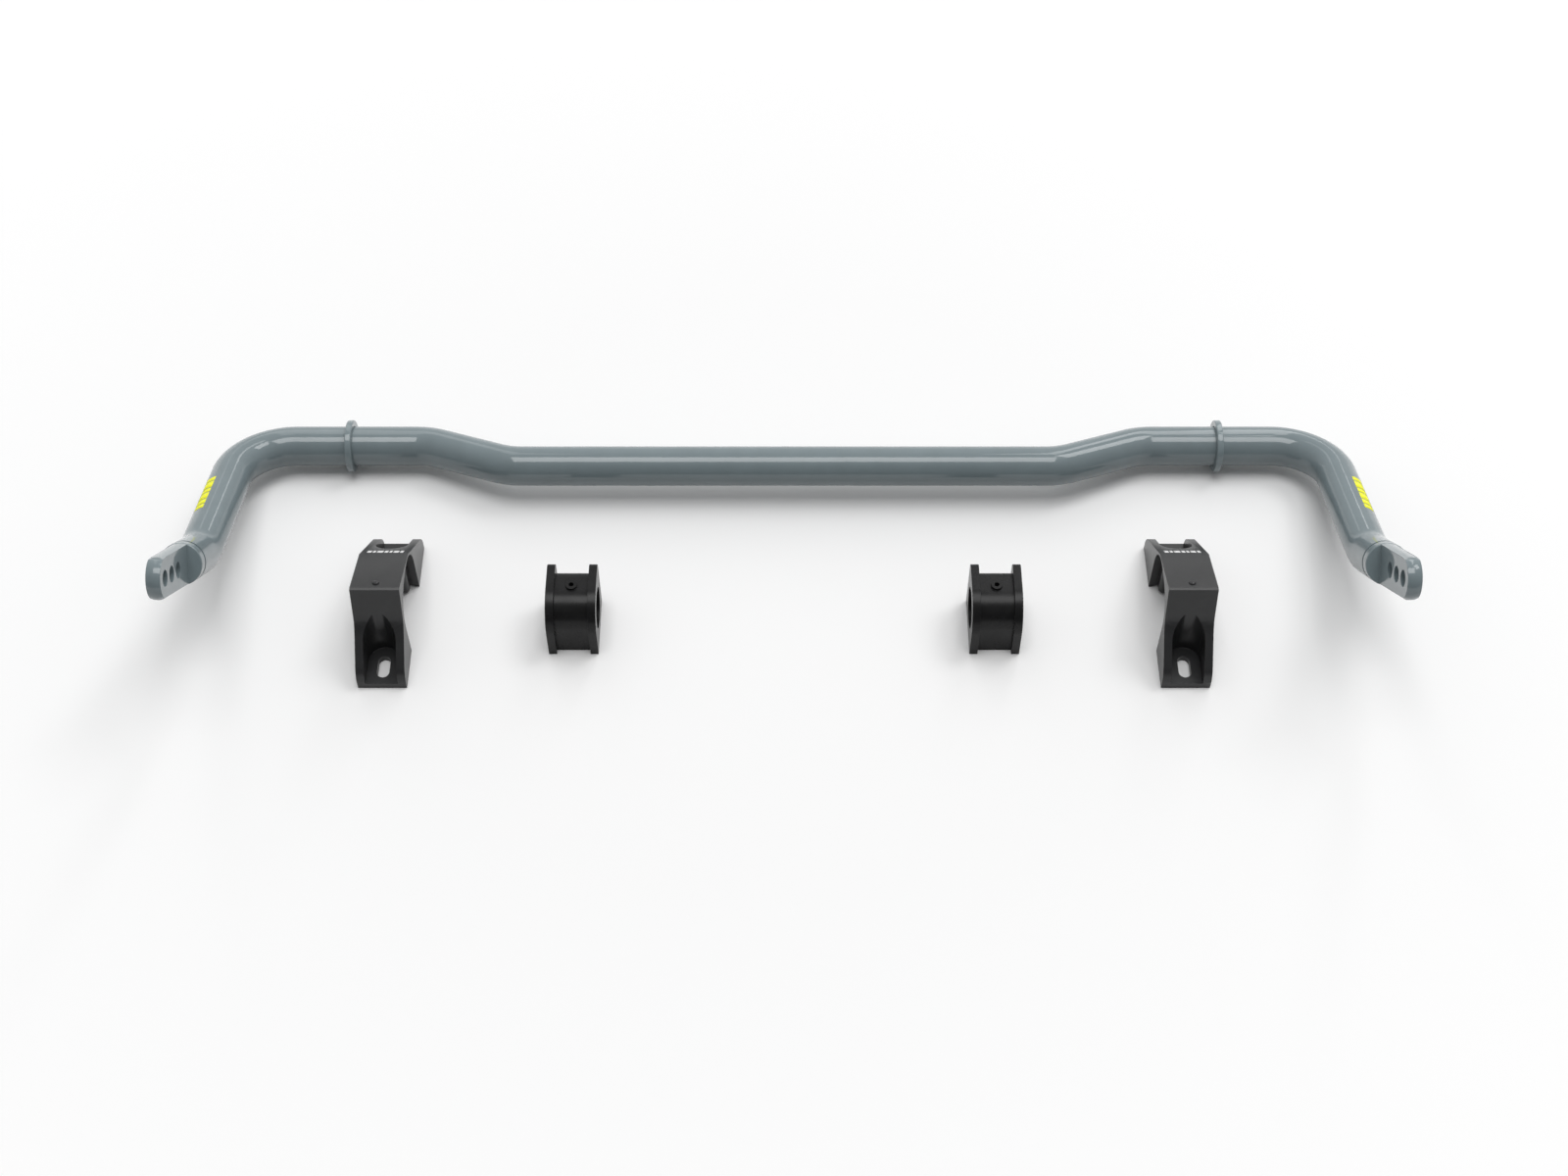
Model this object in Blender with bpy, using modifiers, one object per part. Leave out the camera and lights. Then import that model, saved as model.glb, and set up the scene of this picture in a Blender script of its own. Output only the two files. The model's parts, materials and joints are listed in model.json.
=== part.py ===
"""A sway bar laid out with its two bushes and two brackets, in metres, +Z up.

The bar is bent from round bar, with a socketed end fitting in each end and a collar by each seat.
It stands on its collars behind the bushes and the brackets, with its arms rising to the front.
The origin lies on the floor, at the middle of the layout. +X is to the right, +Y to the back.
"""
import math

import bmesh
import bpy
from mathutils import Matrix, Vector

MM = 0.001

# Shared allowances
CLEARANCE = 0.3 * MM            # gap left between pieces that seat on each other
OVERCUT = 6 * MM                # how far a cutter runs past the face that it opens

# Bar: its section, its route in a plane that rises to the front, and its elbows
BAR_D = 32 * MM
ARM_X = 443 * MM                # from the middle of the bar to an arm, on the main axis
ARM_FLARE = 4.6 * MM            # how far an arm spreads outwards on its way to the elbow
BAR_TILT = math.radians(17)     # how steeply the plane of the bar rises to the front
ARM_LENGTH = 149.2 * MM         # from the main axis to the elbow's corner
MAIN_BEND_R = 46.5 * MM
JOG_OUTER_X = 290.8 * MM
JOG_INNER_X = 222.6 * MM
JOG_DEPTH = 29.7 * MM           # how far the middle stands in front of the main axis
JOG_BEND_R = 52 * MM
ELBOW_ANGLE = math.radians(26.5)  # bend of the bar's end above the plane of the bar
ELBOW_R = 40 * MM
END_LENGTH = 43.3 * MM          # from the elbow's corner to the cut end of the bar
SOCKET_D = 20 * MM
BAR_SIDES = 24

# Collars
COLLAR_INSET = 88.6 * MM        # from an arm's axis to the middle of its collar
COLLAR_D = 42.4 * MM
COLLAR_T = 5.1 * MM
COLLAR_EDGE = 0.6 * MM

# End fittings: a spigot in the bar's socket, a round body and a flat paddle with link holes
SPIGOT_LENGTH = 22 * MM
FITTING_LENGTH = 83.3 * MM      # from the bar's cut end to the paddle's tip
FITTING_BODY = 9.6 * MM         # from the bar's cut end to the step at the paddle
FITTING_EDGE = 0.6 * MM
PADDLE_T = 10.5 * MM
PADDLE_D = 31.4 * MM            # the round stock that the flats are milled on
PADDLE_TIP_R = 16.2 * MM
LINK_HOLE_D = 12.2 * MM
LINK_HOLE_PITCH = 17.15 * MM
LINK_HOLE_INSET = 13.8 * MM     # from the tip to the first hole's centre
LINK_HOLE_COUNT = 3

# Bushes
BUSH_X = 163.1 * MM
BUSH_LENGTH = 38.6 * MM
FLANGE_T = 6.3 * MM
FLANGE_R = 25.6 * MM            # from the bore's axis to the front, the top and the back
FLANGE_CORNER_R = 5.6 * MM
WAIST_CORNER_R = 9.5 * MM
GROOVE_DEPTH = 3.8 * MM
BORE_HEIGHT = 26.1 * MM
SPLIT_GAP = 1 * MM
PORT_D = 8.8 * MM
PORT_HEIGHT = 2 * MM
PORT_HOLE_D = 3.8 * MM
PORT_BACK = 5 * MM              # how far the port stands behind the bore's axis

# Brackets
BRACKET_X = 308.1 * MM
BRACKET_W = 37.6 * MM
BRACKET_LENGTH = 135 * MM
FOOT_EDGE_H = 13.8 * MM
FOOT_FLOOR_T = 5.7 * MM
WALL_FOOT_Y = 30.5 * MM         # where the front foot's slope meets the front wall
WALL_FOOT_Z = 41.8 * MM
WALL_FILLET_R = 30 * MM
RIDGE_Y = 40.3 * MM             # the front edge of the roof
RIDGE_Z = 73.7 * MM
CREASE_Y = 85 * MM              # where the roof turns down to the rear foot
CREASE_Z = 57.9 * MM
RECESS_FRONT_Y = 34.7 * MM      # the arched recess for a flange of the bush, in each side
RECESS_BACK_Y = 96.3 * MM
RECESS_TOP_Z = 60 * MM
RECESS_DEPTH = 6.5 * MM
RECESS_CORNER_R = 26 * MM
POCKET_R = 12.5 * MM
POCKET_CENTRE = 21.4 * MM       # from the foot's edge to the centre of its pocket
SLOT_W = 9.6 * MM
SLOT_LENGTH = 19.7 * MM
SLOT_CENTRE = 15.8 * MM         # from the foot's edge to the slot's centre

# Grease plugs
GREASE_PLUG_Y = 47.9 * MM       # from the bracket's front edge, along the floor
GREASE_HEAD_D = 5.6 * MM
GREASE_HEAD_H = 1.2 * MM
GREASE_SHANK_D = 3.6 * MM
GREASE_SHANK_LENGTH = 3.4 * MM

# Spacing of the layout, from the brackets' front edges
BRACKET_TO_BAR = 224 * MM       # to the bar's main axis
BRACKET_TO_BUSH = 57.1 * MM     # to the bushes' bores

# Places that follow from the sizes above
BAR_R = BAR_D / 2
COLLAR_R = COLLAR_D / 2
COLLAR_X = ARM_X - COLLAR_INSET
END_X = ARM_X + ARM_FLARE
RISE_ANGLE = BAR_TILT + ELBOW_ANGLE
TIP_REACH = END_LENGTH + FITTING_LENGTH - PADDLE_TIP_R
BAR_REACH = ARM_LENGTH * math.cos(BAR_TILT) + TIP_REACH * math.cos(RISE_ANGLE) + PADDLE_TIP_R
BAR_Y = (BAR_REACH - COLLAR_R) / 2
BAR_Z = COLLAR_R
BRACKET_Y = BAR_Y - BRACKET_TO_BAR
BUSH_Y = BRACKET_Y + BRACKET_TO_BUSH
BORE_D = BAR_D + 2 * CLEARANCE
GROOVE_W = BUSH_LENGTH - 2 * FLANGE_T
SADDLE_Y = (RECESS_FRONT_Y + RECESS_BACK_Y) / 2

# Colour (linear RGB), roughness and metallic value of each material
BAR_GREY = ((0.155, 0.200, 0.210), 0.35, 0.2)
FITTING_GREY = ((0.160, 0.205, 0.215), 0.35, 0.2)
COLLAR_GREY = ((0.170, 0.210, 0.220), 0.35, 0.2)
BRACKET_BLACK = ((0.030, 0.031, 0.033), 0.45, 0.3)
BUSH_BLACK = ((0.018, 0.018, 0.019), 0.55, 0.0)
GREASE_PLUG_BLACK = ((0.040, 0.040, 0.042), 0.35, 0.5)

ALONG_X = Matrix.Rotation(math.pi / 2, 4, 'Z') @ Matrix.Rotation(math.pi / 2, 4, 'X')
STRAIGHT = Matrix.Identity(4)


def clear_scene():
    """Remove every object and collection that the open file holds."""
    for obj in list(bpy.data.objects):
        bpy.data.objects.remove(obj, do_unlink=True)
    for collection in list(bpy.data.collections):
        bpy.data.collections.remove(collection)


def new_collection(name):
    """Return a new collection, linked to the scene."""
    collection = bpy.data.collections.new(name)
    bpy.context.scene.collection.children.link(collection)
    return collection


def add_object(name, data, collection):
    """Link a new object that holds the given data."""
    obj = bpy.data.objects.new(name, data)
    collection.objects.link(obj)
    return obj


def finish_part(obj, look):
    """Give a part its own Principled material."""
    colour, roughness, metallic = look
    material = bpy.data.materials.new(obj.name + "_material")
    material.use_nodes = True
    shader = material.node_tree.nodes["Principled BSDF"]
    shader.inputs["Base Color"].default_value = (*colour, 1.0)
    shader.inputs["Roughness"].default_value = roughness
    shader.inputs["Metallic"].default_value = metallic
    obj.data.materials.clear()
    obj.data.materials.append(material)


def place(obj, parent, location, rotation=(0, 0, 0)):
    """Parent an object, and set its place and turn in the parent's frame."""
    obj.parent = parent
    obj.location = location
    obj.rotation_euler = rotation


def arc(centre, radius, start, end, steps):
    """Points on an arc about a 2D centre, from one angle in degrees to another."""
    points = []
    for i in range(steps + 1):
        angle = math.radians(start + (end - start) * i / steps)
        points.append((centre[0] + radius * math.cos(angle), centre[1] + radius * math.sin(angle)))
    return points


def round_corners(corners, radii, step_angle):
    """Replace each inner corner of a path by an arc of its radius; a radius of 0 keeps it."""
    path = [corners[0]]
    for before, corner, after, radius in zip(corners, corners[1:], corners[2:], radii[1:]):
        to_before = (before - corner).normalized()
        to_after = (after - corner).normalized()
        turn = math.pi - to_before.angle(to_after)
        if radius == 0:
            path.append(corner)
            continue
        centre = corner + (to_before + to_after).normalized() * (radius / math.cos(turn / 2))
        spoke = corner + to_before * (radius * math.tan(turn / 2)) - centre
        normal = to_after.cross(to_before).normalized()
        steps = max(3, round(math.degrees(turn) / step_angle))
        for i in range(steps + 1):
            path.append(centre + Matrix.Rotation(turn * i / steps, 3, normal) @ spoke)
    path.append(corners[-1])
    return path


def outline_of(corners, radii, step_angle=12):
    """A 2D outline with rounded corners."""
    vectors = [Vector((y, z, 0)) for y, z in corners]
    return [(point.x, point.y) for point in round_corners(vectors, radii, step_angle)]


def mesh_of(curve_object, name, collection):
    """Turn a curve object into a closed mesh object, and remove the curve."""
    bpy.context.view_layer.update()
    graph = bpy.context.evaluated_depsgraph_get()
    mesh = bpy.data.meshes.new_from_object(curve_object.evaluated_get(graph))
    mesh.name = name
    work = bmesh.new()
    work.from_mesh(mesh)
    bmesh.ops.remove_doubles(work, verts=work.verts, dist=0.00001)
    bmesh.ops.recalc_face_normals(work, faces=work.faces)
    work.to_mesh(mesh)
    work.free()
    obj = add_object(name, mesh, collection)
    obj.matrix_world = curve_object.matrix_world
    bpy.data.objects.remove(curve_object, do_unlink=True)
    obj.name = name
    return obj


def prism(name, outline, low, high, collection, turn=STRAIGHT):
    """Extrude a closed 2D outline from low to high, then turn the mesh."""
    curve = bpy.data.curves.new(name, 'CURVE')
    curve.dimensions = '2D'
    curve.fill_mode = 'BOTH'
    curve.extrude = (high - low) / 2
    spline = curve.splines.new('POLY')
    spline.points.add(len(outline) - 1)
    for point, (x, y) in zip(spline.points, outline):
        point.co = (x, y, 0, 1)
    spline.use_cyclic_u = True
    obj = mesh_of(add_object(name, curve, collection), name, collection)
    obj.data.transform(turn @ Matrix.Translation((0, 0, (low + high) / 2)))
    return obj


def cylinder(name, radius, low, high, collection, turn=STRAIGHT, sides=24):
    """A cylinder about the Z axis from low to high, then turned."""
    work = bmesh.new()
    bmesh.ops.create_cone(
        work, cap_ends=True, segments=sides, radius1=radius, radius2=radius, depth=high - low)
    mesh = bpy.data.meshes.new(name)
    work.to_mesh(mesh)
    work.free()
    mesh.transform(turn @ Matrix.Translation((0, 0, (low + high) / 2)))
    return add_object(name, mesh, collection)


def turned(name, profile, steps, collection):
    """Turn a profile of (radius, height) points about Z; it runs down its outer side."""
    work = bmesh.new()
    vertices = [work.verts.new((radius, 0, height)) for radius, height in profile]
    for first, second in zip(vertices, vertices[1:]):
        work.edges.new((first, second))
    mesh = bpy.data.meshes.new(name)
    work.to_mesh(mesh)
    work.free()
    obj = add_object(name, mesh, collection)
    screw = obj.modifiers.new("turn", 'SCREW')
    screw.axis = 'Z'
    screw.steps = steps
    screw.render_steps = steps
    screw.use_merge_vertices = True
    screw.merge_threshold = 0.00001
    return obj


def cut(obj, tool, operation='DIFFERENCE'):
    """Cut a part with a tool, which stays as a hidden wire guide in the part's place."""
    boolean = obj.modifiers.new(tool.name, 'BOOLEAN')
    boolean.operation = operation
    boolean.solver = 'EXACT'
    boolean.object = tool
    tool.hide_render = True
    tool.display_type = 'WIRE'


def bar_point(x, forward):
    """A point in the plane of the bar, measured from the middle of the main axis."""
    return Vector((x, -forward * math.cos(BAR_TILT), forward * math.sin(BAR_TILT)))


def bar_end(side):
    """The centre of the bar's cut end on one side."""
    rise = Vector((0, -math.cos(RISE_ANGLE), math.sin(RISE_ANGLE)))
    return bar_point(side * END_X, ARM_LENGTH) + rise * END_LENGTH


def build_bar(parts, cutters, axis):
    """The bent bar: one rounded route, mirrored about the middle, with a socket in each end."""
    half = [
        (bar_point(JOG_INNER_X, JOG_DEPTH), JOG_BEND_R),
        (bar_point(JOG_OUTER_X, 0), JOG_BEND_R),
        (bar_point(ARM_X, 0), MAIN_BEND_R),
        (bar_point(END_X, ARM_LENGTH), ELBOW_R),
        (bar_end(1), 0),
    ]
    mirrored = [(Vector((-point.x, point.y, point.z)), radius) for point, radius in reversed(half)]
    corners, radii = zip(*(mirrored + half))
    route = round_corners(corners, radii, 8)

    curve = bpy.data.curves.new("bar_tube", 'CURVE')
    curve.dimensions = '3D'
    curve.bevel_depth = BAR_R
    curve.bevel_resolution = (BAR_SIDES - 4) // 2
    curve.use_fill_caps = True
    spline = curve.splines.new('POLY')
    spline.points.add(len(route) - 1)
    for point, stop in zip(spline.points, route):
        point.co = (*stop, 1)
    bar = mesh_of(add_object("bar_tube", curve, parts), "bar_tube", parts)
    place(bar, axis, (0, 0, 0))
    for side, side_name in ((-1, "left"), (1, "right")):
        depth = SPIGOT_LENGTH + CLEARANCE
        socket = cylinder(side_name + "_socket", SOCKET_D / 2, -depth, OVERCUT, cutters)
        place(socket, axis, bar_end(side), (math.pi / 2 - RISE_ANGLE, 0, 0))
        cut(bar, socket)
    finish_part(bar, BAR_GREY)


def build_end_fitting(side, side_name, parts, cutters, axis):
    """A turned plug with a spigot, and a paddle milled flat on round stock, with link holes.

    Z runs out along its axis from the bar's cut end, and X is square to the paddle's faces.
    """
    name = side_name + "_end_fitting"
    spigot_r = SOCKET_D / 2 - CLEARANCE
    profile = [
        (0, FITTING_BODY), (BAR_R - FITTING_EDGE, FITTING_BODY), (BAR_R, FITTING_BODY - FITTING_EDGE),
        (BAR_R, CLEARANCE + FITTING_EDGE), (BAR_R - FITTING_EDGE, CLEARANCE), (spigot_r, CLEARANCE),
        (spigot_r, -SPIGOT_LENGTH), (0, -SPIGOT_LENGTH),
    ]
    fitting = turned(name, profile, 32, parts)

    root = FITTING_BODY / 2
    outline = [(-PADDLE_TIP_R, root), (PADDLE_TIP_R, root)]
    outline += arc((0, FITTING_LENGTH - PADDLE_TIP_R), PADDLE_TIP_R, 0, 180, 20)
    paddle = prism(name + "_paddle", outline, -PADDLE_T / 2, PADDLE_T / 2, cutters, ALONG_X)
    stock = cylinder(name + "_stock", PADDLE_D / 2, 0, FITTING_LENGTH + OVERCUT, cutters, sides=48)
    cut(paddle, stock, 'INTERSECT')
    tools = [(paddle, 'UNION')]
    for i in range(LINK_HOLE_COUNT):
        height = FITTING_LENGTH - LINK_HOLE_INSET - i * LINK_HOLE_PITCH
        turn = Matrix.Translation((0, 0, height)) @ Matrix.Rotation(math.pi / 2, 4, 'Y')
        hole = cylinder(f"{name}_hole_{i + 1}", LINK_HOLE_D / 2, -BAR_R, BAR_R, cutters, turn)
        tools.append((hole, 'DIFFERENCE'))

    lean = (math.pi / 2 - RISE_ANGLE, 0, 0)
    place(stock, axis, bar_end(side), lean)
    for tool, operation in tools:
        cut(fitting, tool, operation)
        place(tool, axis, bar_end(side), lean)
    place(fitting, axis, bar_end(side), lean)
    finish_part(fitting, FITTING_GREY)


def build_collar(side, side_name, parts, axis):
    """A ring with broken edges that sits on the bar beside its bush seat."""
    inner = BAR_R + CLEARANCE
    half = COLLAR_T / 2
    profile = [
        (inner, half), (COLLAR_R - COLLAR_EDGE, half), (COLLAR_R, half - COLLAR_EDGE),
        (COLLAR_R, COLLAR_EDGE - half), (COLLAR_R - COLLAR_EDGE, -half), (inner, -half),
        (inner, half),
    ]
    collar = turned(side_name + "_collar", profile, 32, parts)
    place(collar, axis, (side * COLLAR_X, 0, 0), (0, math.pi / 2, 0))
    finish_part(collar, COLLAR_GREY)


def bush_outline(inset, corner_r, bottom):
    """The bush's side view, drawn in by an inset: round at the front, square at the back.

    Points are (Y, Z) from the floor below the bore's axis, from the lower front to the upper front.
    """
    radius = FLANGE_R - inset
    top = BORE_HEIGHT + radius
    outline = [(-radius, bottom), (radius, bottom)]
    outline += arc((radius - corner_r, top - corner_r), corner_r, 0, 90, 5)
    outline += arc((0, BORE_HEIGHT), radius, 90, 180, 10)
    return outline


def build_bush(side, side_name, parts, cutters):
    """A flanged block with a bore, a grease port on its waist and a split at the back."""
    name = side_name + "_bush"
    half = BUSH_LENGTH / 2
    bush = prism(name, bush_outline(0, FLANGE_CORNER_R, 0), -half, half, parts, ALONG_X)

    waist = bush_outline(GROOVE_DEPTH, WAIST_CORNER_R, -OVERCUT)
    reach = FLANGE_R + OVERCUT
    top = BORE_HEIGHT + reach
    around = [waist[0], *reversed(waist[1:])]
    around = [*around, (reach, -OVERCUT), (reach, top), (-reach, top), (-reach, -OVERCUT)]
    groove = prism(name + "_groove", around, -GROOVE_W / 2, GROOVE_W / 2, cutters, ALONG_X)

    waist_top = BORE_HEIGHT + FLANGE_R - GROOVE_DEPTH
    at_port = Matrix.Translation((0, PORT_BACK, waist_top))
    port = cylinder(name + "_port", PORT_D / 2, -GROOVE_DEPTH / 2, PORT_HEIGHT, cutters, at_port, 20)
    port_hole = cylinder(
        name + "_port_hole", PORT_HOLE_D / 2, BORE_HEIGHT - waist_top, OVERCUT, cutters, at_port, 12)
    at_bore = Matrix.Translation((0, 0, BORE_HEIGHT)) @ Matrix.Rotation(math.pi / 2, 4, 'Y')
    bore = cylinder(name + "_bore", BORE_D / 2, -half - OVERCUT, half + OVERCUT, cutters, at_bore, 32)
    low = BORE_HEIGHT - SPLIT_GAP / 2
    slit = [(0, low), (reach, low), (reach, low + SPLIT_GAP), (0, low + SPLIT_GAP)]
    split = prism(name + "_split", slit, -half - OVERCUT, half + OVERCUT, cutters, ALONG_X)

    spot = (side * BUSH_X, BUSH_Y, 0)
    cut(bush, groove)
    cut(bush, port, 'UNION')
    for tool in (port_hole, bore, split):
        cut(bush, tool)
    for obj in (bush, groove, port, port_hole, bore, split):
        place(obj, None, spot)
    finish_part(bush, BUSH_BLACK)


def roof_z(y):
    """Height of the roof, which falls from its front edge to the crease."""
    return RIDGE_Z + (CREASE_Z - RIDGE_Z) * (y - RIDGE_Y) / (CREASE_Y - RIDGE_Y)


def roof_fall():
    """The angle at which the roof falls to the back."""
    return math.atan2(RIDGE_Z - CREASE_Z, CREASE_Y - RIDGE_Y)


def bracket_outline():
    """The bracket's side view, (Y, Z) from its front edge on the floor, before its cuts."""
    corners = [
        (0, 0), (0, FOOT_EDGE_H), (WALL_FOOT_Y, WALL_FOOT_Z), (RIDGE_Y, RIDGE_Z),
        (CREASE_Y, CREASE_Z), (BRACKET_LENGTH, FOOT_EDGE_H), (BRACKET_LENGTH, 0),
    ]
    return outline_of(corners, (0, 0, WALL_FILLET_R, 0, 0, 0, 0))


def recess_outline():
    """The flange recess: an arch with large round corners, open to the floor."""
    corners = [
        (RECESS_FRONT_Y, -OVERCUT), (RECESS_FRONT_Y, RECESS_TOP_Z), (RECESS_BACK_Y, RECESS_TOP_Z),
        (RECESS_BACK_Y, -OVERCUT),
    ]
    return outline_of(corners, (0, RECESS_CORNER_R, RECESS_CORNER_R, 0), 9)


def rib_outline():
    """The rib's opening: the bush's waist with a clearance, turned end for end."""
    waist = bush_outline(GROOVE_DEPTH - CLEARANCE, WAIST_CORNER_R, -OVERCUT)
    return [(SADDLE_Y - y, z) for y, z in waist]


def build_bracket(side, side_name, parts, cutters):
    """A saddle bracket: an extruded side view with recesses, pockets, slots and a plug seat."""
    name = side_name + "_bracket"
    half = BRACKET_W / 2
    past = half + OVERCUT
    bracket = prism(name, bracket_outline(), -half, half, parts, ALONG_X)

    tools = [prism(name + "_rib", rib_outline(), -past, past, cutters, ALONG_X)]
    for face, low, high in (("left", -past, RECESS_DEPTH - half), ("right", half - RECESS_DEPTH, past)):
        tools.append(prism(f"{name}_{face}_recess", recess_outline(), low, high, cutters, ALONG_X))
    for end, edge, inward in (("front", 0, 1), ("rear", BRACKET_LENGTH, -1)):
        outside = edge - inward * OVERCUT
        pocket = arc((0, edge + inward * POCKET_CENTRE), POCKET_R, 0, inward * 180, 16)
        pocket += [(-POCKET_R, outside), (POCKET_R, outside)]
        tools.append(prism(f"{name}_{end}_pocket", pocket, FOOT_FLOOR_T, RIDGE_Z + OVERCUT, cutters))
        straight = (SLOT_LENGTH - SLOT_W) / 2
        middle = edge + inward * SLOT_CENTRE
        slot = arc((0, middle + straight), SLOT_W / 2, 0, 180, 8)
        slot += arc((0, middle - straight), SLOT_W / 2, 180, 360, 8)
        tools.append(prism(f"{name}_{end}_slot", slot, -OVERCUT, FOOT_FLOOR_T + OVERCUT, cutters))
    seat = Matrix.Translation((0, GREASE_PLUG_Y, roof_z(GREASE_PLUG_Y)))
    seat = seat @ Matrix.Rotation(-roof_fall(), 4, 'X')
    depth = GREASE_SHANK_LENGTH + CLEARANCE
    seat_r = GREASE_SHANK_D / 2 + CLEARANCE
    tools.append(cylinder(name + "_plug_seat", seat_r, -depth, OVERCUT, cutters, seat, 16))

    spot = (side * BRACKET_X, BRACKET_Y, 0)
    for tool in tools:
        cut(bracket, tool)
        place(tool, None, spot)
    place(bracket, None, spot)
    finish_part(bracket, BRACKET_BLACK)


def build_grease_plug(side, side_name, parts):
    """A low domed plug in the bracket's roof."""
    head_r = GREASE_HEAD_D / 2
    shank_r = GREASE_SHANK_D / 2
    profile = [(0, CLEARANCE + GREASE_HEAD_H)]
    for angle in (30, 60, 90):
        turn = math.radians(angle)
        profile.append((head_r * math.sin(turn), CLEARANCE + GREASE_HEAD_H * math.cos(turn)))
    profile += [(shank_r, CLEARANCE), (shank_r, -GREASE_SHANK_LENGTH), (0, -GREASE_SHANK_LENGTH)]
    plug = turned(side_name + "_grease_plug", profile, 16, parts)
    seat = (side * BRACKET_X, BRACKET_Y + GREASE_PLUG_Y, roof_z(GREASE_PLUG_Y))
    place(plug, None, seat, (-roof_fall(), 0, 0))
    finish_part(plug, GREASE_PLUG_BLACK)


def main():
    clear_scene()
    parts = new_collection("sway_bar")
    cutters = new_collection("cutters")
    axis = add_object("bar_axis", None, parts)
    axis.location = (0, BAR_Y, BAR_Z)
    build_bar(parts, cutters, axis)
    for side, side_name in ((-1, "left"), (1, "right")):
        build_end_fitting(side, side_name, parts, cutters, axis)
        build_collar(side, side_name, parts, axis)
        build_bush(side, side_name, parts, cutters)
        build_bracket(side, side_name, parts, cutters)
        build_grease_plug(side, side_name, parts)
    bpy.context.view_layer.update()


main()
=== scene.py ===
"""Looks of the sway bar kit: its finishes, broken edges and paint marks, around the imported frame."""

import json
import math

import bmesh
import bpy
from mathutils import Matrix, Vector


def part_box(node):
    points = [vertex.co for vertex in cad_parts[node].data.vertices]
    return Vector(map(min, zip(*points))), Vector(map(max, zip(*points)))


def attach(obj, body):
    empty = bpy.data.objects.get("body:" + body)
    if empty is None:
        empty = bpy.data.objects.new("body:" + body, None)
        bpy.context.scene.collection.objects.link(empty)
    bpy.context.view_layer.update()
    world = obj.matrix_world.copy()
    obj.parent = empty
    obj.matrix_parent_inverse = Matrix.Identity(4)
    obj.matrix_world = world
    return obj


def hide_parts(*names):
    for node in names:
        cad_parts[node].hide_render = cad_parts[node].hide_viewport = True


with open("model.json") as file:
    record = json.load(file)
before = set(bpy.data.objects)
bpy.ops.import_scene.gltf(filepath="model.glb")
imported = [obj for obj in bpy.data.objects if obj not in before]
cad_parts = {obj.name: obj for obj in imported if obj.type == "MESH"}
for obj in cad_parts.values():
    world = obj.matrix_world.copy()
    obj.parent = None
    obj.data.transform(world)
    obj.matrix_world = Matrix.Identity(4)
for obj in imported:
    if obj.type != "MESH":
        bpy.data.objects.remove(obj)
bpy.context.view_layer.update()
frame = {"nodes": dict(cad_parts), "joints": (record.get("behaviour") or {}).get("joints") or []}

MM = 0.001

# The bar's section and route, as in the solids
BAR_R = 16 * MM
ARM_X = 443 * MM                # from the middle of the bar to an arm, on the main axis
END_X = 447.6 * MM              # from the middle of the bar to an arm, at the elbow
BAR_TILT = math.radians(17)
ARM_LENGTH = 149.2 * MM
MAIN_BEND_R = 46.5 * MM
JOG_OUTER_X = 290.8 * MM
JOG_INNER_X = 222.6 * MM
JOG_DEPTH = 29.7 * MM
JOG_BEND_R = 52 * MM
ELBOW_ANGLE = math.radians(26.5)
ELBOW_R = 40 * MM
END_LENGTH = 43.3 * MM
FITTING_LENGTH = 83.3 * MM      # from the bar's cut end to the paddle's tip
PADDLE_T = 10.5 * MM
PADDLE_TIP_R = 16.2 * MM
JOINT_GROOVE_W = 1.3 * MM       # groove around the bar where each end fitting begins
JOINT_GROOVE_DEPTH = 2.6 * MM
BAR_SIDES = 72
BEND_STEP = math.radians(2.5)

# Places on a bracket, as in the solids
CREASE_Y = 85 * MM              # from the front edge to the top of the rear slope
CREASE_Z = 57.9 * MM
FOOT_EDGE_H = 13.8 * MM         # height of the lugs at the foot's edge
FOOT_FLOOR_T = 5.7 * MM         # height of the pocket's floor
RECESS_DEPTH = 6.5 * MM         # from a side to the rib

# Broken edges and other small forms of the pieces
EDGE_SEGMENTS = 2               # across a plain broken edge
BRACKET_EDGE = 0.4 * MM
RIDGE_EDGE = 1.6 * MM           # the flat along the front edge of a bracket's roof
RIDGE_LEAN = 0.26               # how far that flat leans back towards the roof
RIB_EDGE = 4.5 * MM             # the edges of the opening through a bracket's rib
RIB_SEGMENTS = 5
LUG_EDGE = 7.8 * MM             # the ends of the lugs beside a bracket's pockets
LUG_SEGMENTS = 6
POCKET_FILLET = 2 * MM          # around the floor of a pocket
POCKET_SEGMENTS = 4
BUSH_EDGE = 0.5 * MM
FITTING_EDGE = 0.45 * MM
DOME_CUTS = 5                   # across the thickness of a paddle's end
DOME_RUN = 6 * MM               # over which a paddle's flanks run into its domed end
DOME_RIM = 0.9                  # share of the tip's radius from which a point is on the rim
COLLAR_EDGE = 0.25 * MM
SHARP_ANGLE = math.radians(28)  # from which an edge is broken
SMOOTH_ANGLE = math.radians(35)     # up to which faces are shaded as one surface
PLUG_SMOOTH_ANGLE = math.radians(40)
FLAT_ANGLE = math.radians(0.6)  # up to which faces are joined into one flat face
WELD = 0.002 * MM               # how close points are joined into one
ON_PLANE = 0.05 * MM            # how close a point lies to a plane that it belongs to

# The middle of a noise's range, which is spread between two colours or two numbers
NOISE_LOW = 0.3
NOISE_HIGH = 0.7

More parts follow.
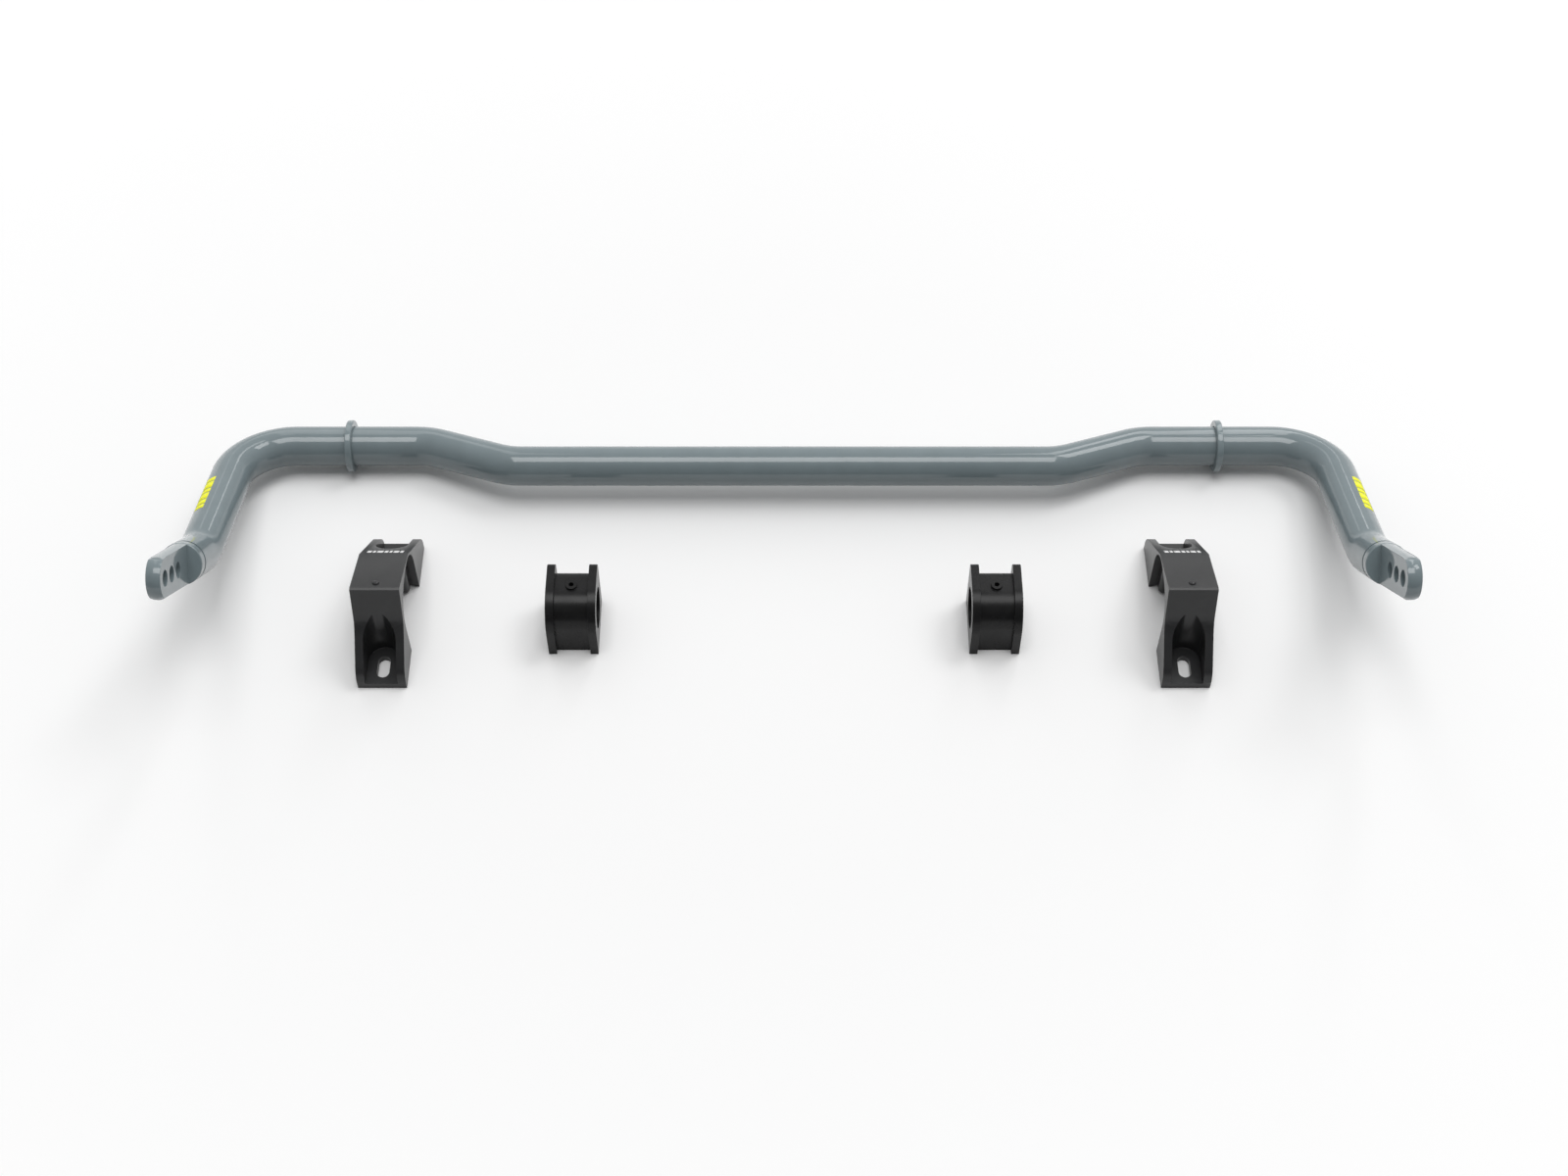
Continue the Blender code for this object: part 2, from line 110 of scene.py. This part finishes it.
# Paint marks: rows of plain dashes
MARK_LIFT = 0.12 * MM           # how far the paint stands out
MARK_DEPTH = 0.3 * MM           # its thickness, most of which is sunk in
ARM_MARK_START = 67.5 * MM      # along the arm from the main axis
ARM_MARK_WIDTH = 9 * MM
ARM_MARK_ANGLE = math.radians(33)   # from the arm's top to the middle of the marks, outwards
ARM_MARK_DASHES = (5, 9, 5, 8, 6, 5)  # lengths in mm
ARM_MARK_GAP = 1 * MM
ARM_MARK_STEPS = 10             # around the arm
SLOPE_MARK_START = 6 * MM       # down the rear slope from the crease
SLOPE_MARK_HEIGHT = 7 * MM
SLOPE_MARK_DASHES = (3.3, 2.2, 4.8, 2.8, 2.2, 4.1, 2.6)  # lengths in mm
SLOPE_MARK_GAP = 1 * MM

# Camera, from the vanishing points and the widths of matching pieces in the photograph
CAMERA_LENS_MM = 50
CAMERA_SENSOR_MM = 36
CAMERA_PITCH = math.radians(53.8)
CAMERA_TO_BRACKET = 925.5 * MM  # level, from the camera to the brackets' front edges
CAMERA_HEIGHT = 1394.5 * MM

# Softboxes, all at one distance: azimuth from the back to the right and elevation in degrees,
# width and height in metres, and radiance, where 1 is a white surface.
# An elevation past 90 leans to the front.
LAMP_DISTANCE = 12              # metres
SOFTBOXES = {
    "overhead": (0, 91.2, 6.4, 6.0, 4.7),
    "key": (54, 57.5, 4.2, 4.2, 5.2),
    "back_right": (17, 37, 1.4, 8.8, 3.2),
    "back_left": (-17, 37, 1.5, 8.8, 1.2),
}
SKY_FRONT = 0.11                # strength of the sky at the front horizon
SKY_BACK = 0.76                 # the same at the back horizon
FLOOR_WHITE_PAINTED_SHADE = 0.94              # to the eye and in reflections, under the object, where it is painted a little darker as shade
FLOOR_FAR_WHITE = 1.0           # the same, away from it
FLOOR_NEAR = 0.30               # metres from the middle, over which the painted shade fades out
FLOOR_FAR = 1.10
FLOOR_REACH = 40                # metres from the middle to each side
FLOOR_BOUNCE = 0.5              # to the light that it throws back

# The middle of the bar's main axis, from its joint, and the slope of its ends
bar_joint = frame["joints"][0]
AXIS = Vector(bar_joint["pos_m"])
RISE = BAR_TILT + ELBOW_ANGLE


def shader_material(name, roughness=0.5, metallic=0.0, specular=0.5):
    """A Principled material whose plain values sit on its own sockets."""
    material = bpy.data.materials.new(name)
    material.use_nodes = True
    tree = material.node_tree
    shader = tree.nodes["Principled BSDF"]
    shader.inputs["Roughness"].default_value = roughness
    shader.inputs["Metallic"].default_value = metallic
    shader.inputs["Specular IOR Level"].default_value = specular
    return material, tree, shader


def noise(tree, scale, detail=3.0):
    """A noise texture over the object's own coordinates, which are the frame's metres."""
    coords = tree.nodes.new("ShaderNodeTexCoord")
    texture = tree.nodes.new("ShaderNodeTexNoise")
    texture.inputs["Scale"].default_value = scale
    texture.inputs["Detail"].default_value = detail
    tree.links.new(coords.outputs["Object"], texture.inputs["Vector"])
    return texture.outputs["Fac"]


def ramp(tree, factor, low, high):
    """Spread a noise between two colours."""
    node = tree.nodes.new("ShaderNodeValToRGB")
    node.color_ramp.elements[0].position = NOISE_LOW
    node.color_ramp.elements[0].color = (*low, 1)
    node.color_ramp.elements[1].position = NOISE_HIGH
    node.color_ramp.elements[1].color = (*high, 1)
    tree.links.new(factor, node.inputs["Fac"])
    return node.outputs["Color"]


def spread(tree, value, low, high, low_at=NOISE_LOW, high_at=NOISE_HIGH):
    """Spread a value, such as a noise, between two numbers."""
    node = tree.nodes.new("ShaderNodeMapRange")
    node.inputs["From Min"].default_value = low_at
    node.inputs["From Max"].default_value = high_at
    node.inputs["To Min"].default_value = low
    node.inputs["To Max"].default_value = high
    tree.links.new(value, node.inputs["Value"])
    return node.outputs["Result"]


def add_bump(tree, shader, height, strength, distance):
    """Drive the shader's normal by a height."""
    node = tree.nodes.new("ShaderNodeBump")
    node.inputs["Strength"].default_value = strength
    node.inputs["Distance"].default_value = distance
    tree.links.new(height, node.inputs["Height"])
    tree.links.new(node.outputs["Normal"], shader.inputs["Normal"])


def powder_coat(name, painted_light=1.0):
    """Grey-blue powder coat: a fine orange-peel skin under a clear gloss, made lighter by a factor
    above 1 as painted light.
    """
    material, tree, shader = shader_material(name, specular=0.15)
    shader.inputs["Coat Weight"].default_value = 0.9
    shader.inputs["Coat Roughness"].default_value = 0.05
    # painted light: a factor above 1 makes a lighter copy of the same coat
    low = tuple(c * painted_light for c in (0.174, 0.217, 0.232))
    high = tuple(c * painted_light for c in (0.188, 0.234, 0.250))
    tree.links.new(ramp(tree, noise(tree, scale=60), low, high), shader.inputs["Base Color"])
    roughness = spread(tree, noise(tree, scale=35), low=0.36, high=0.44)
    tree.links.new(roughness, shader.inputs["Roughness"])
    add_bump(tree, shader, noise(tree, scale=900, detail=2), strength=0.10, distance=0.2 * MM)
    return material


def black_anodised():
    """Satin black anodised aluminium with a fine bead-blasted grain."""
    material, tree, shader = shader_material("bracket_black", specular=0.39)
    low = (0.022, 0.0225, 0.0235)
    high = (0.026, 0.0265, 0.0275)
    tree.links.new(ramp(tree, noise(tree, scale=90), low, high), shader.inputs["Base Color"])
    roughness = spread(tree, noise(tree, scale=45), low=0.29, high=0.32)
    tree.links.new(roughness, shader.inputs["Roughness"])
    add_bump(tree, shader, noise(tree, scale=2200, detail=2), strength=0.18, distance=0.1 * MM)
    return material


def black_polyurethane():
    """Satin black moulded polyurethane, a little uneven."""
    material, tree, shader = shader_material("bush_black", specular=0.22)
    low = (0.007, 0.007, 0.0074)
    high = (0.011, 0.011, 0.0115)
    tree.links.new(ramp(tree, noise(tree, scale=120), low, high), shader.inputs["Base Color"])
    roughness = spread(tree, noise(tree, scale=70), low=0.26, high=0.31)
    tree.links.new(roughness, shader.inputs["Roughness"])
    add_bump(tree, shader, noise(tree, scale=700), strength=0.12, distance=0.2 * MM)
    return material


def black_oxide():
    """Black oxide on a small steel plug."""
    material, tree, shader = shader_material("grease_plug_black", roughness=0.28, metallic=0.2)
    low = (0.022, 0.022, 0.024)
    high = (0.040, 0.040, 0.042)
    tree.links.new(ramp(tree, noise(tree, scale=500), low, high), shader.inputs["Base Color"])
    add_bump(tree, shader, noise(tree, scale=1500, detail=2), strength=0.10, distance=0.1 * MM)
    return material


def mark_paint(name, low, high):
    """Flat marking paint, a little uneven in colour."""
    material, tree, shader = shader_material(name, roughness=0.55)
    tree.links.new(ramp(tree, noise(tree, scale=700), low, high), shader.inputs["Base Color"])
    add_bump(tree, shader, noise(tree, scale=1800, detail=2), strength=0.10, distance=0.1 * MM)
    return material


def new_object(name, work, material, smooth=True):
    """Link a mesh object, made from a bmesh that it frees, with one material."""
    mesh = bpy.data.meshes.new(name)
    work.to_mesh(mesh)
    work.free()
    mesh.materials.append(material)
    if smooth:
        mesh.shade_smooth()
        mesh.set_sharp_from_angle(angle=SMOOTH_ANGLE)
    obj = bpy.data.objects.new(name, mesh)
    bpy.context.scene.collection.objects.link(obj)
    return obj


def round_corners(corners, radii):
    """Replace each inner corner of a path by an arc of its radius."""
    path = [corners[0]]
    for before, corner, after, radius in zip(corners, corners[1:], corners[2:], radii[1:]):
        to_before = (before - corner).normalized()
        to_after = (after - corner).normalized()
        turn = math.pi - to_before.angle(to_after)
        centre = corner + (to_before + to_after).normalized() * (radius / math.cos(turn / 2))
        spoke = corner + to_before * (radius * math.tan(turn / 2)) - centre
        normal = to_after.cross(to_before).normalized()
        steps = math.ceil(turn / BEND_STEP)
        for i in range(steps + 1):
            path.append(centre + Matrix.Rotation(turn * i / steps, 3, normal) @ spoke)
    path.append(corners[-1])
    return path


def bar_point(x, forward):
    """A point in the plane of the bar."""
    return AXIS + Vector((x, -forward * math.cos(BAR_TILT), forward * math.sin(BAR_TILT)))


def end_direction():
    """The direction in which both ends of the bar point."""
    return Vector((0, -math.cos(RISE), math.sin(RISE)))


def bar_route():
    """The bar's centre line, from its left end to its right end."""
    elbow = bar_point(END_X, ARM_LENGTH)
    half = [
        (bar_point(JOG_INNER_X, JOG_DEPTH), JOG_BEND_R),
        (bar_point(JOG_OUTER_X, 0), JOG_BEND_R),
        (bar_point(ARM_X, 0), MAIN_BEND_R),
        (elbow, ELBOW_R),
        (elbow + end_direction() * END_LENGTH, 0),
    ]
    mirrored = [(Vector((-point.x, point.y, point.z)), radius) for point, radius in reversed(half)]
    corners, radii = zip(*(mirrored + half))
    return round_corners(corners, radii)


def sweep(route, rings):
    """Sweep a circle along a route that bends smoothly; rings are (route index, shift, radius)."""
    work = bmesh.new()
    side = None
    loops = []
    for index, shift, radius in rings:
        here = route[index]
        before = route[max(index - 1, 0)]
        after = route[min(index + 1, len(route) - 1)]
        ahead = (after - before).normalized()
        side = ahead.cross(Vector((0, 0, 1))) if side is None else side
        side = (side - ahead * side.dot(ahead)).normalized()
        up = side.cross(ahead)
        loop = []
        for i in range(BAR_SIDES):
            turn = 2 * math.pi * i / BAR_SIDES
            spoke = side * math.cos(turn) + up * math.sin(turn)
            loop.append(work.verts.new(here + ahead * shift + spoke * radius))
        loops.append(loop)
    for first, second in zip(loops, loops[1:]):
        for i in range(BAR_SIDES):
            j = (i + 1) % BAR_SIDES
            work.faces.new((first[i], first[j], second[j], second[i]))
    work.faces.new(loops[0])
    work.faces.new(reversed(loops[-1]))
    bmesh.ops.recalc_face_normals(work, faces=work.faces)
    return work


def build_bar(material):
    """The bent bar, swept finely, with a groove beside each cut end."""
    route = bar_route()
    last = len(route) - 1
    neck = BAR_R - JOINT_GROOVE_DEPTH
    rings = [(0, 0, neck), (0, JOINT_GROOVE_W, neck), (0, JOINT_GROOVE_W, BAR_R)]
    rings += [(i, 0, BAR_R) for i in range(1, last)]
    rings += [(last, -JOINT_GROOVE_W, BAR_R), (last, -JOINT_GROOVE_W, neck), (last, 0, neck)]
    bar = new_object("bar", sweep(route, rings), material)
    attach(bar, "bar")
    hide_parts("bar_tube")


def node_copy(node):
    """A CAD node's mesh, with its flat faces whole again."""
    work = bmesh.new()
    work.from_mesh(frame["nodes"][node].data)
    bmesh.ops.remove_doubles(work, verts=work.verts, dist=WELD)
    bmesh.ops.dissolve_limit(work, angle_limit=FLAT_ANGLE, verts=work.verts, edges=work.edges)
    return work


def bevel(work, edges, width, segments):
    """Round some edges over, and return the new points."""
    made = bmesh.ops.bevel(
        work, geom=edges, offset=width, offset_type='OFFSET', segments=segments, profile=0.5,
        affect='EDGES', clamp_overlap=True)
    return made["verts"]


def sharp_edges(work, holds=None, convex=None):
    """The sharp edges: all of them, or those that lie on a place and stand out or in."""
    chosen = []
    for edge in work.edges:
        if not edge.is_manifold or edge.calc_face_angle(0) < SHARP_ANGLE:
            continue
        if holds is None or (edge.is_convex == convex and all(holds(v.co) for v in edge.verts)):
            chosen.append(edge)
    return chosen


def dress(node, name, work, material, body):
    """Put a finished mesh in the place of a CAD node."""
    obj = new_object(name, work, material)
    weighted = obj.modifiers.new("normals", 'WEIGHTED_NORMAL')
    weighted.keep_sharp = True
    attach(obj, body)
    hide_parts(node)


def build_broken(node, name, material, body, width):
    """A copy of a CAD node with its sharp edges rounded over."""
    work = node_copy(node)
    bevel(work, sharp_edges(work), width, EDGE_SEGMENTS)
    dress(node, name, work, material, body)


def dome_end(work, centre, along):
    """Round a paddle's end across its thickness too, like a turned end with flats milled on it."""
    cross = []
    for edge in work.edges:
        span = edge.verts[1].co - edge.verts[0].co
        beyond = min((vert.co - centre).dot(along) for vert in edge.verts)
        misfit = max(abs(abs(span.x) - PADDLE_T), abs(span.length - PADDLE_T))
        if beyond > ON_PLANE and misfit < ON_PLANE:
            cross.append(edge)
    bmesh.ops.subdivide_edges(work, edges=cross, cuts=DOME_CUTS, use_grid_fill=True)
    for vert in work.verts:
        spoke = vert.co - centre
        beyond = spoke.dot(along)
        across = spoke.x
        spoke.x = 0
        if beyond > ON_PLANE and spoke.length > PADDLE_TIP_R * DOME_RIM:
            share = math.sqrt(1 - (across / PADDLE_TIP_R) ** 2)
            blend = min(beyond / DOME_RUN, 1)
            vert.co += spoke * ((share - 1) * blend)


def build_fitting(side, side_name, material):
    """An end fitting with a domed paddle and broken edges."""
    node = side_name + "_end_fitting"
    work = node_copy(node)
    reach = END_LENGTH + FITTING_LENGTH - PADDLE_TIP_R
    centre = bar_point(side * END_X, ARM_LENGTH) + end_direction() * reach
    dome_end(work, centre, end_direction())
    bevel(work, sharp_edges(work), FITTING_EDGE, EDGE_SEGMENTS)
    dress(node, side_name + "_fitting", work, material, "bar")


def build_saddle(side_name, material):
    """A bracket with a flat along its roof's front edge, and rounded lugs, pockets and rib opening."""
    node = side_name + "_bracket"
    low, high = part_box(node)
    middle = (low.x + high.x) / 2
    rib_half = (high.x - low.x) / 2 - RECESS_DEPTH
    work = node_copy(node)

    def on_ridge(point):
        return high.z - point.z < ON_PLANE

    def on_rib(point):
        return abs(abs(point.x - middle) - rib_half) < ON_PLANE

    def on_lug(point):
        at_end = min(point.y - low.y, high.y - point.y) < ON_PLANE
        return at_end and abs(point.z - FOOT_EDGE_H) < ON_PLANE

    def on_pocket(point):
        return abs(point.z - FOOT_FLOOR_T) < ON_PLANE

    ridge = sharp_edges(work, on_ridge, True)
    ridge_y = ridge[0].verts[0].co.y
    for point in bevel(work, ridge, RIDGE_EDGE, segments=1):
        if high.z - point.co.z > RIDGE_EDGE / 2:
            point.co = point.co.lerp((point.co.x, ridge_y, high.z), RIDGE_LEAN)
    bevel(work, sharp_edges(work, on_rib, True), RIB_EDGE, RIB_SEGMENTS)
    bevel(work, sharp_edges(work, on_lug, True), LUG_EDGE, LUG_SEGMENTS)
    bevel(work, sharp_edges(work, on_pocket, False), POCKET_FILLET, POCKET_SEGMENTS)
    bevel(work, sharp_edges(work), BRACKET_EDGE, EDGE_SEGMENTS)
    dress(node, side_name + "_saddle", work, material, "mounts")


def add_patch(work, corner_at, columns, outward):
    """Add a patch of paint to a mesh: two rows of points from corner_at(share across, row)."""
    rows = [[work.verts.new(corner_at(i / columns, row)) for i in range(columns + 1)] for row in (0, 1)]
    for i in range(columns):
        face = work.faces.new((rows[0][i], rows[0][i + 1], rows[1][i + 1], rows[1][i]))
        face.normal_update()
        if face.normal.dot(outward) < 0:
            face.normal_flip()


def finish_marks(name, work, material, body):
    """Give a row of patches its thickness, and let it ride on a body."""
    obj = new_object(name, work, material)
    shell = obj.modifiers.new("thickness", 'SOLIDIFY')
    shell.thickness = MARK_DEPTH
    shell.offset = -1
    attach(obj, body)


def dash_spans(dashes, gap):
    """The start and end of each dash in a row that begins at 0."""
    start = 0
    spans = []
    for length in dashes:
        spans.append((start, start + length * MM))
        start += length * MM + gap
    return spans


def build_arm_marks(side, side_name, material):
    """A row of plain dashes along the outer upper side of an arm."""
    foot = bar_point(side * ARM_X, 0)
    along = (bar_point(side * END_X, ARM_LENGTH) - foot).normalized()
    top = (Vector((0, 0, 1)) - along * along.z).normalized()
    outward = along.cross(top) if along.cross(top).x * side > 0 else top.cross(along)
    half_turn = ARM_MARK_WIDTH / BAR_R / 2
    work = bmesh.new()
    for start, end in dash_spans(ARM_MARK_DASHES, ARM_MARK_GAP):
        def corner_at(across, row):
            turn = ARM_MARK_ANGLE + half_turn * (2 * across - 1)
            spoke = top * math.cos(turn) + outward * math.sin(turn)
            distance = ARM_MARK_START + (start, end)[row]
            return foot + along * distance + spoke * (BAR_R + MARK_LIFT)
        add_patch(work, corner_at, ARM_MARK_STEPS, top)
    finish_marks(side_name + "_arm_marks", work, material, "bar")


def build_slope_marks(side_name, material):
    """A row of plain dashes across the top of a bracket's rear slope."""
    low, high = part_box(side_name + "_bracket")
    crease = Vector(((low.x + high.x) / 2, low.y + CREASE_Y, CREASE_Z))
    down = Vector((0, high.y - crease.y, FOOT_EDGE_H - CREASE_Z)).normalized()
    out = Vector((1, 0, 0)).cross(down) * -1
    spans = dash_spans(SLOPE_MARK_DASHES, SLOPE_MARK_GAP)
    left = -spans[-1][1] / 2
    work = bmesh.new()
    for start, end in spans:
        def corner_at(across, row):
            x = left + start + (end - start) * across
            distance = SLOPE_MARK_START + SLOPE_MARK_HEIGHT * row
            return crease + Vector((x, 0, 0)) + down * distance + out * MARK_LIFT
        add_patch(work, corner_at, 1, out)
    finish_marks(side_name + "_slope_marks", work, material, "mounts")


def finish_plug(side_name, material):
    """Give a grease plug, whose CAD mesh stays, its finish."""
    plug = frame["nodes"][side_name + "_grease_plug"]
    plug.data.materials.clear()
    plug.data.materials.append(material)
    plug.data.shade_smooth()
    plug.data.set_sharp_from_angle(angle=PLUG_SMOOTH_ANGLE)


def add_camera():
    """The photograph's camera."""
    bracket_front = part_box("left_bracket")[0].y
    data = bpy.data.cameras.new("camera")
    data.lens = CAMERA_LENS_MM
    data.sensor_width = CAMERA_SENSOR_MM
    data.sensor_fit = 'HORIZONTAL'
    data.clip_end = 2 * FLOOR_REACH
    camera = bpy.data.objects.new("camera", data)
    camera.location = (0, bracket_front - CAMERA_TO_BRACKET, CAMERA_HEIGHT)
    camera.rotation_euler = (math.pi / 2 - CAMERA_PITCH, 0, 0)
    bpy.context.scene.collection.objects.link(camera)
    bpy.context.scene.camera = camera


def add_floor():
    """A floor that is white to the eye and in reflections, and keeps the shadows; it is a little darker
    near the middle, as painted shade.
    """
    work = bmesh.new()
    bmesh.ops.create_grid(work, x_segments=1, y_segments=1, size=FLOOR_REACH)
    material, tree, shader = shader_material("floor_white", roughness=0.9, specular=0.0)
    path = tree.nodes.new("ShaderNodeLightPath")
    seen = path.outputs["Is Camera Ray"]
    for other in ("Is Glossy Ray", "Is Transmission Ray"):
        either = tree.nodes.new("ShaderNodeMath")
        either.operation = 'MAXIMUM'
        tree.links.new(seen, either.inputs[0])
        tree.links.new(path.outputs[other], either.inputs[1])
        seen = either.outputs["Value"]
    coords = tree.nodes.new("ShaderNodeTexCoord")
    distance = tree.nodes.new("ShaderNodeVectorMath")
    distance.operation = 'LENGTH'
    tree.links.new(coords.outputs["Object"], distance.inputs[0])
    # painted shade: the floor's white is darker near the middle and full away from it
    white = spread(
        tree, distance.outputs["Value"], FLOOR_WHITE_PAINTED_SHADE, FLOOR_FAR_WHITE, FLOOR_NEAR, FLOOR_FAR)
    colour = tree.nodes.new("ShaderNodeMix")
    tree.links.new(seen, colour.inputs["Factor"])
    colour.inputs["A"].default_value = FLOOR_BOUNCE
    tree.links.new(white, colour.inputs["B"])
    tree.links.new(colour.outputs["Result"], shader.inputs["Base Color"])
    new_object("floor", work, material, smooth=False)


def add_softbox(name, azimuth, elevation, width, height, radiance):
    """A soft rectangular lamp in a direction from the middle of the bar, aimed at it."""
    turn, rise = math.radians(azimuth), math.radians(elevation)
    toward = Vector((math.sin(turn) * math.cos(rise), math.cos(turn) * math.cos(rise), math.sin(rise)))
    data = bpy.data.lights.new(name, 'AREA')
    data.shape = 'RECTANGLE'
    data.size = width
    data.size_y = height
    data.energy = radiance * math.pi * width * height
    lamp = bpy.data.objects.new(name, data)
    lamp.location = AXIS + toward * LAMP_DISTANCE
    lamp.rotation_euler = (-toward).to_track_quat('-Z', 'Y').to_euler()
    bpy.context.scene.collection.objects.link(lamp)


def add_sky():
    """A pale sky, brighter at the back than at the front."""
    world = bpy.data.worlds.new("world")
    world.use_nodes = True
    tree = world.node_tree
    background = tree.nodes["Background"]
    background.inputs["Color"].default_value = (1, 1, 1, 1)
    coords = tree.nodes.new("ShaderNodeTexCoord")
    split = tree.nodes.new("ShaderNodeSeparateXYZ")
    tree.links.new(coords.outputs["Generated"], split.inputs["Vector"])
    strength = spread(tree, split.outputs["Y"], SKY_FRONT, SKY_BACK, -1, 1)
    tree.links.new(strength, background.inputs["Strength"])
    bpy.context.scene.world = world


coat = powder_coat("bar_coat")
# painted light: the end fittings and collars are in the bar's own coat, and these copies of it are made
# lighter
fitting_coat_painted_lighter = powder_coat("end_fitting_coat", painted_light=1.03)
collar_coat = powder_coat("collar_coat", painted_light=1.08)
anodised = black_anodised()
polyurethane = black_polyurethane()
oxide = black_oxide()
yellow = mark_paint("mark_yellow", low=(0.94, 0.95, 0.015), high=(1.0, 1.0, 0.03))
white = mark_paint("mark_white", low=(0.78, 0.78, 0.78), high=(0.90, 0.90, 0.90))

add_camera()
build_bar(coat)
for side, side_name in ((-1, "left"), (1, "right")):
    build_fitting(side, side_name, fitting_coat_painted_lighter)
    build_broken(side_name + "_collar", side_name + "_ring", collar_coat, "bar", COLLAR_EDGE)
    build_broken(
        side_name + "_bush", side_name + "_bushing", polyurethane, "mounts", BUSH_EDGE)
    build_saddle(side_name, anodised)
    build_arm_marks(side, side_name, yellow)
    build_slope_marks(side_name, white)
    finish_plug(side_name, oxide)

add_floor()
for name, settings in SOFTBOXES.items():
    add_softbox(name, *settings)
add_sky()
bpy.context.scene.view_settings.view_transform = 'Standard'
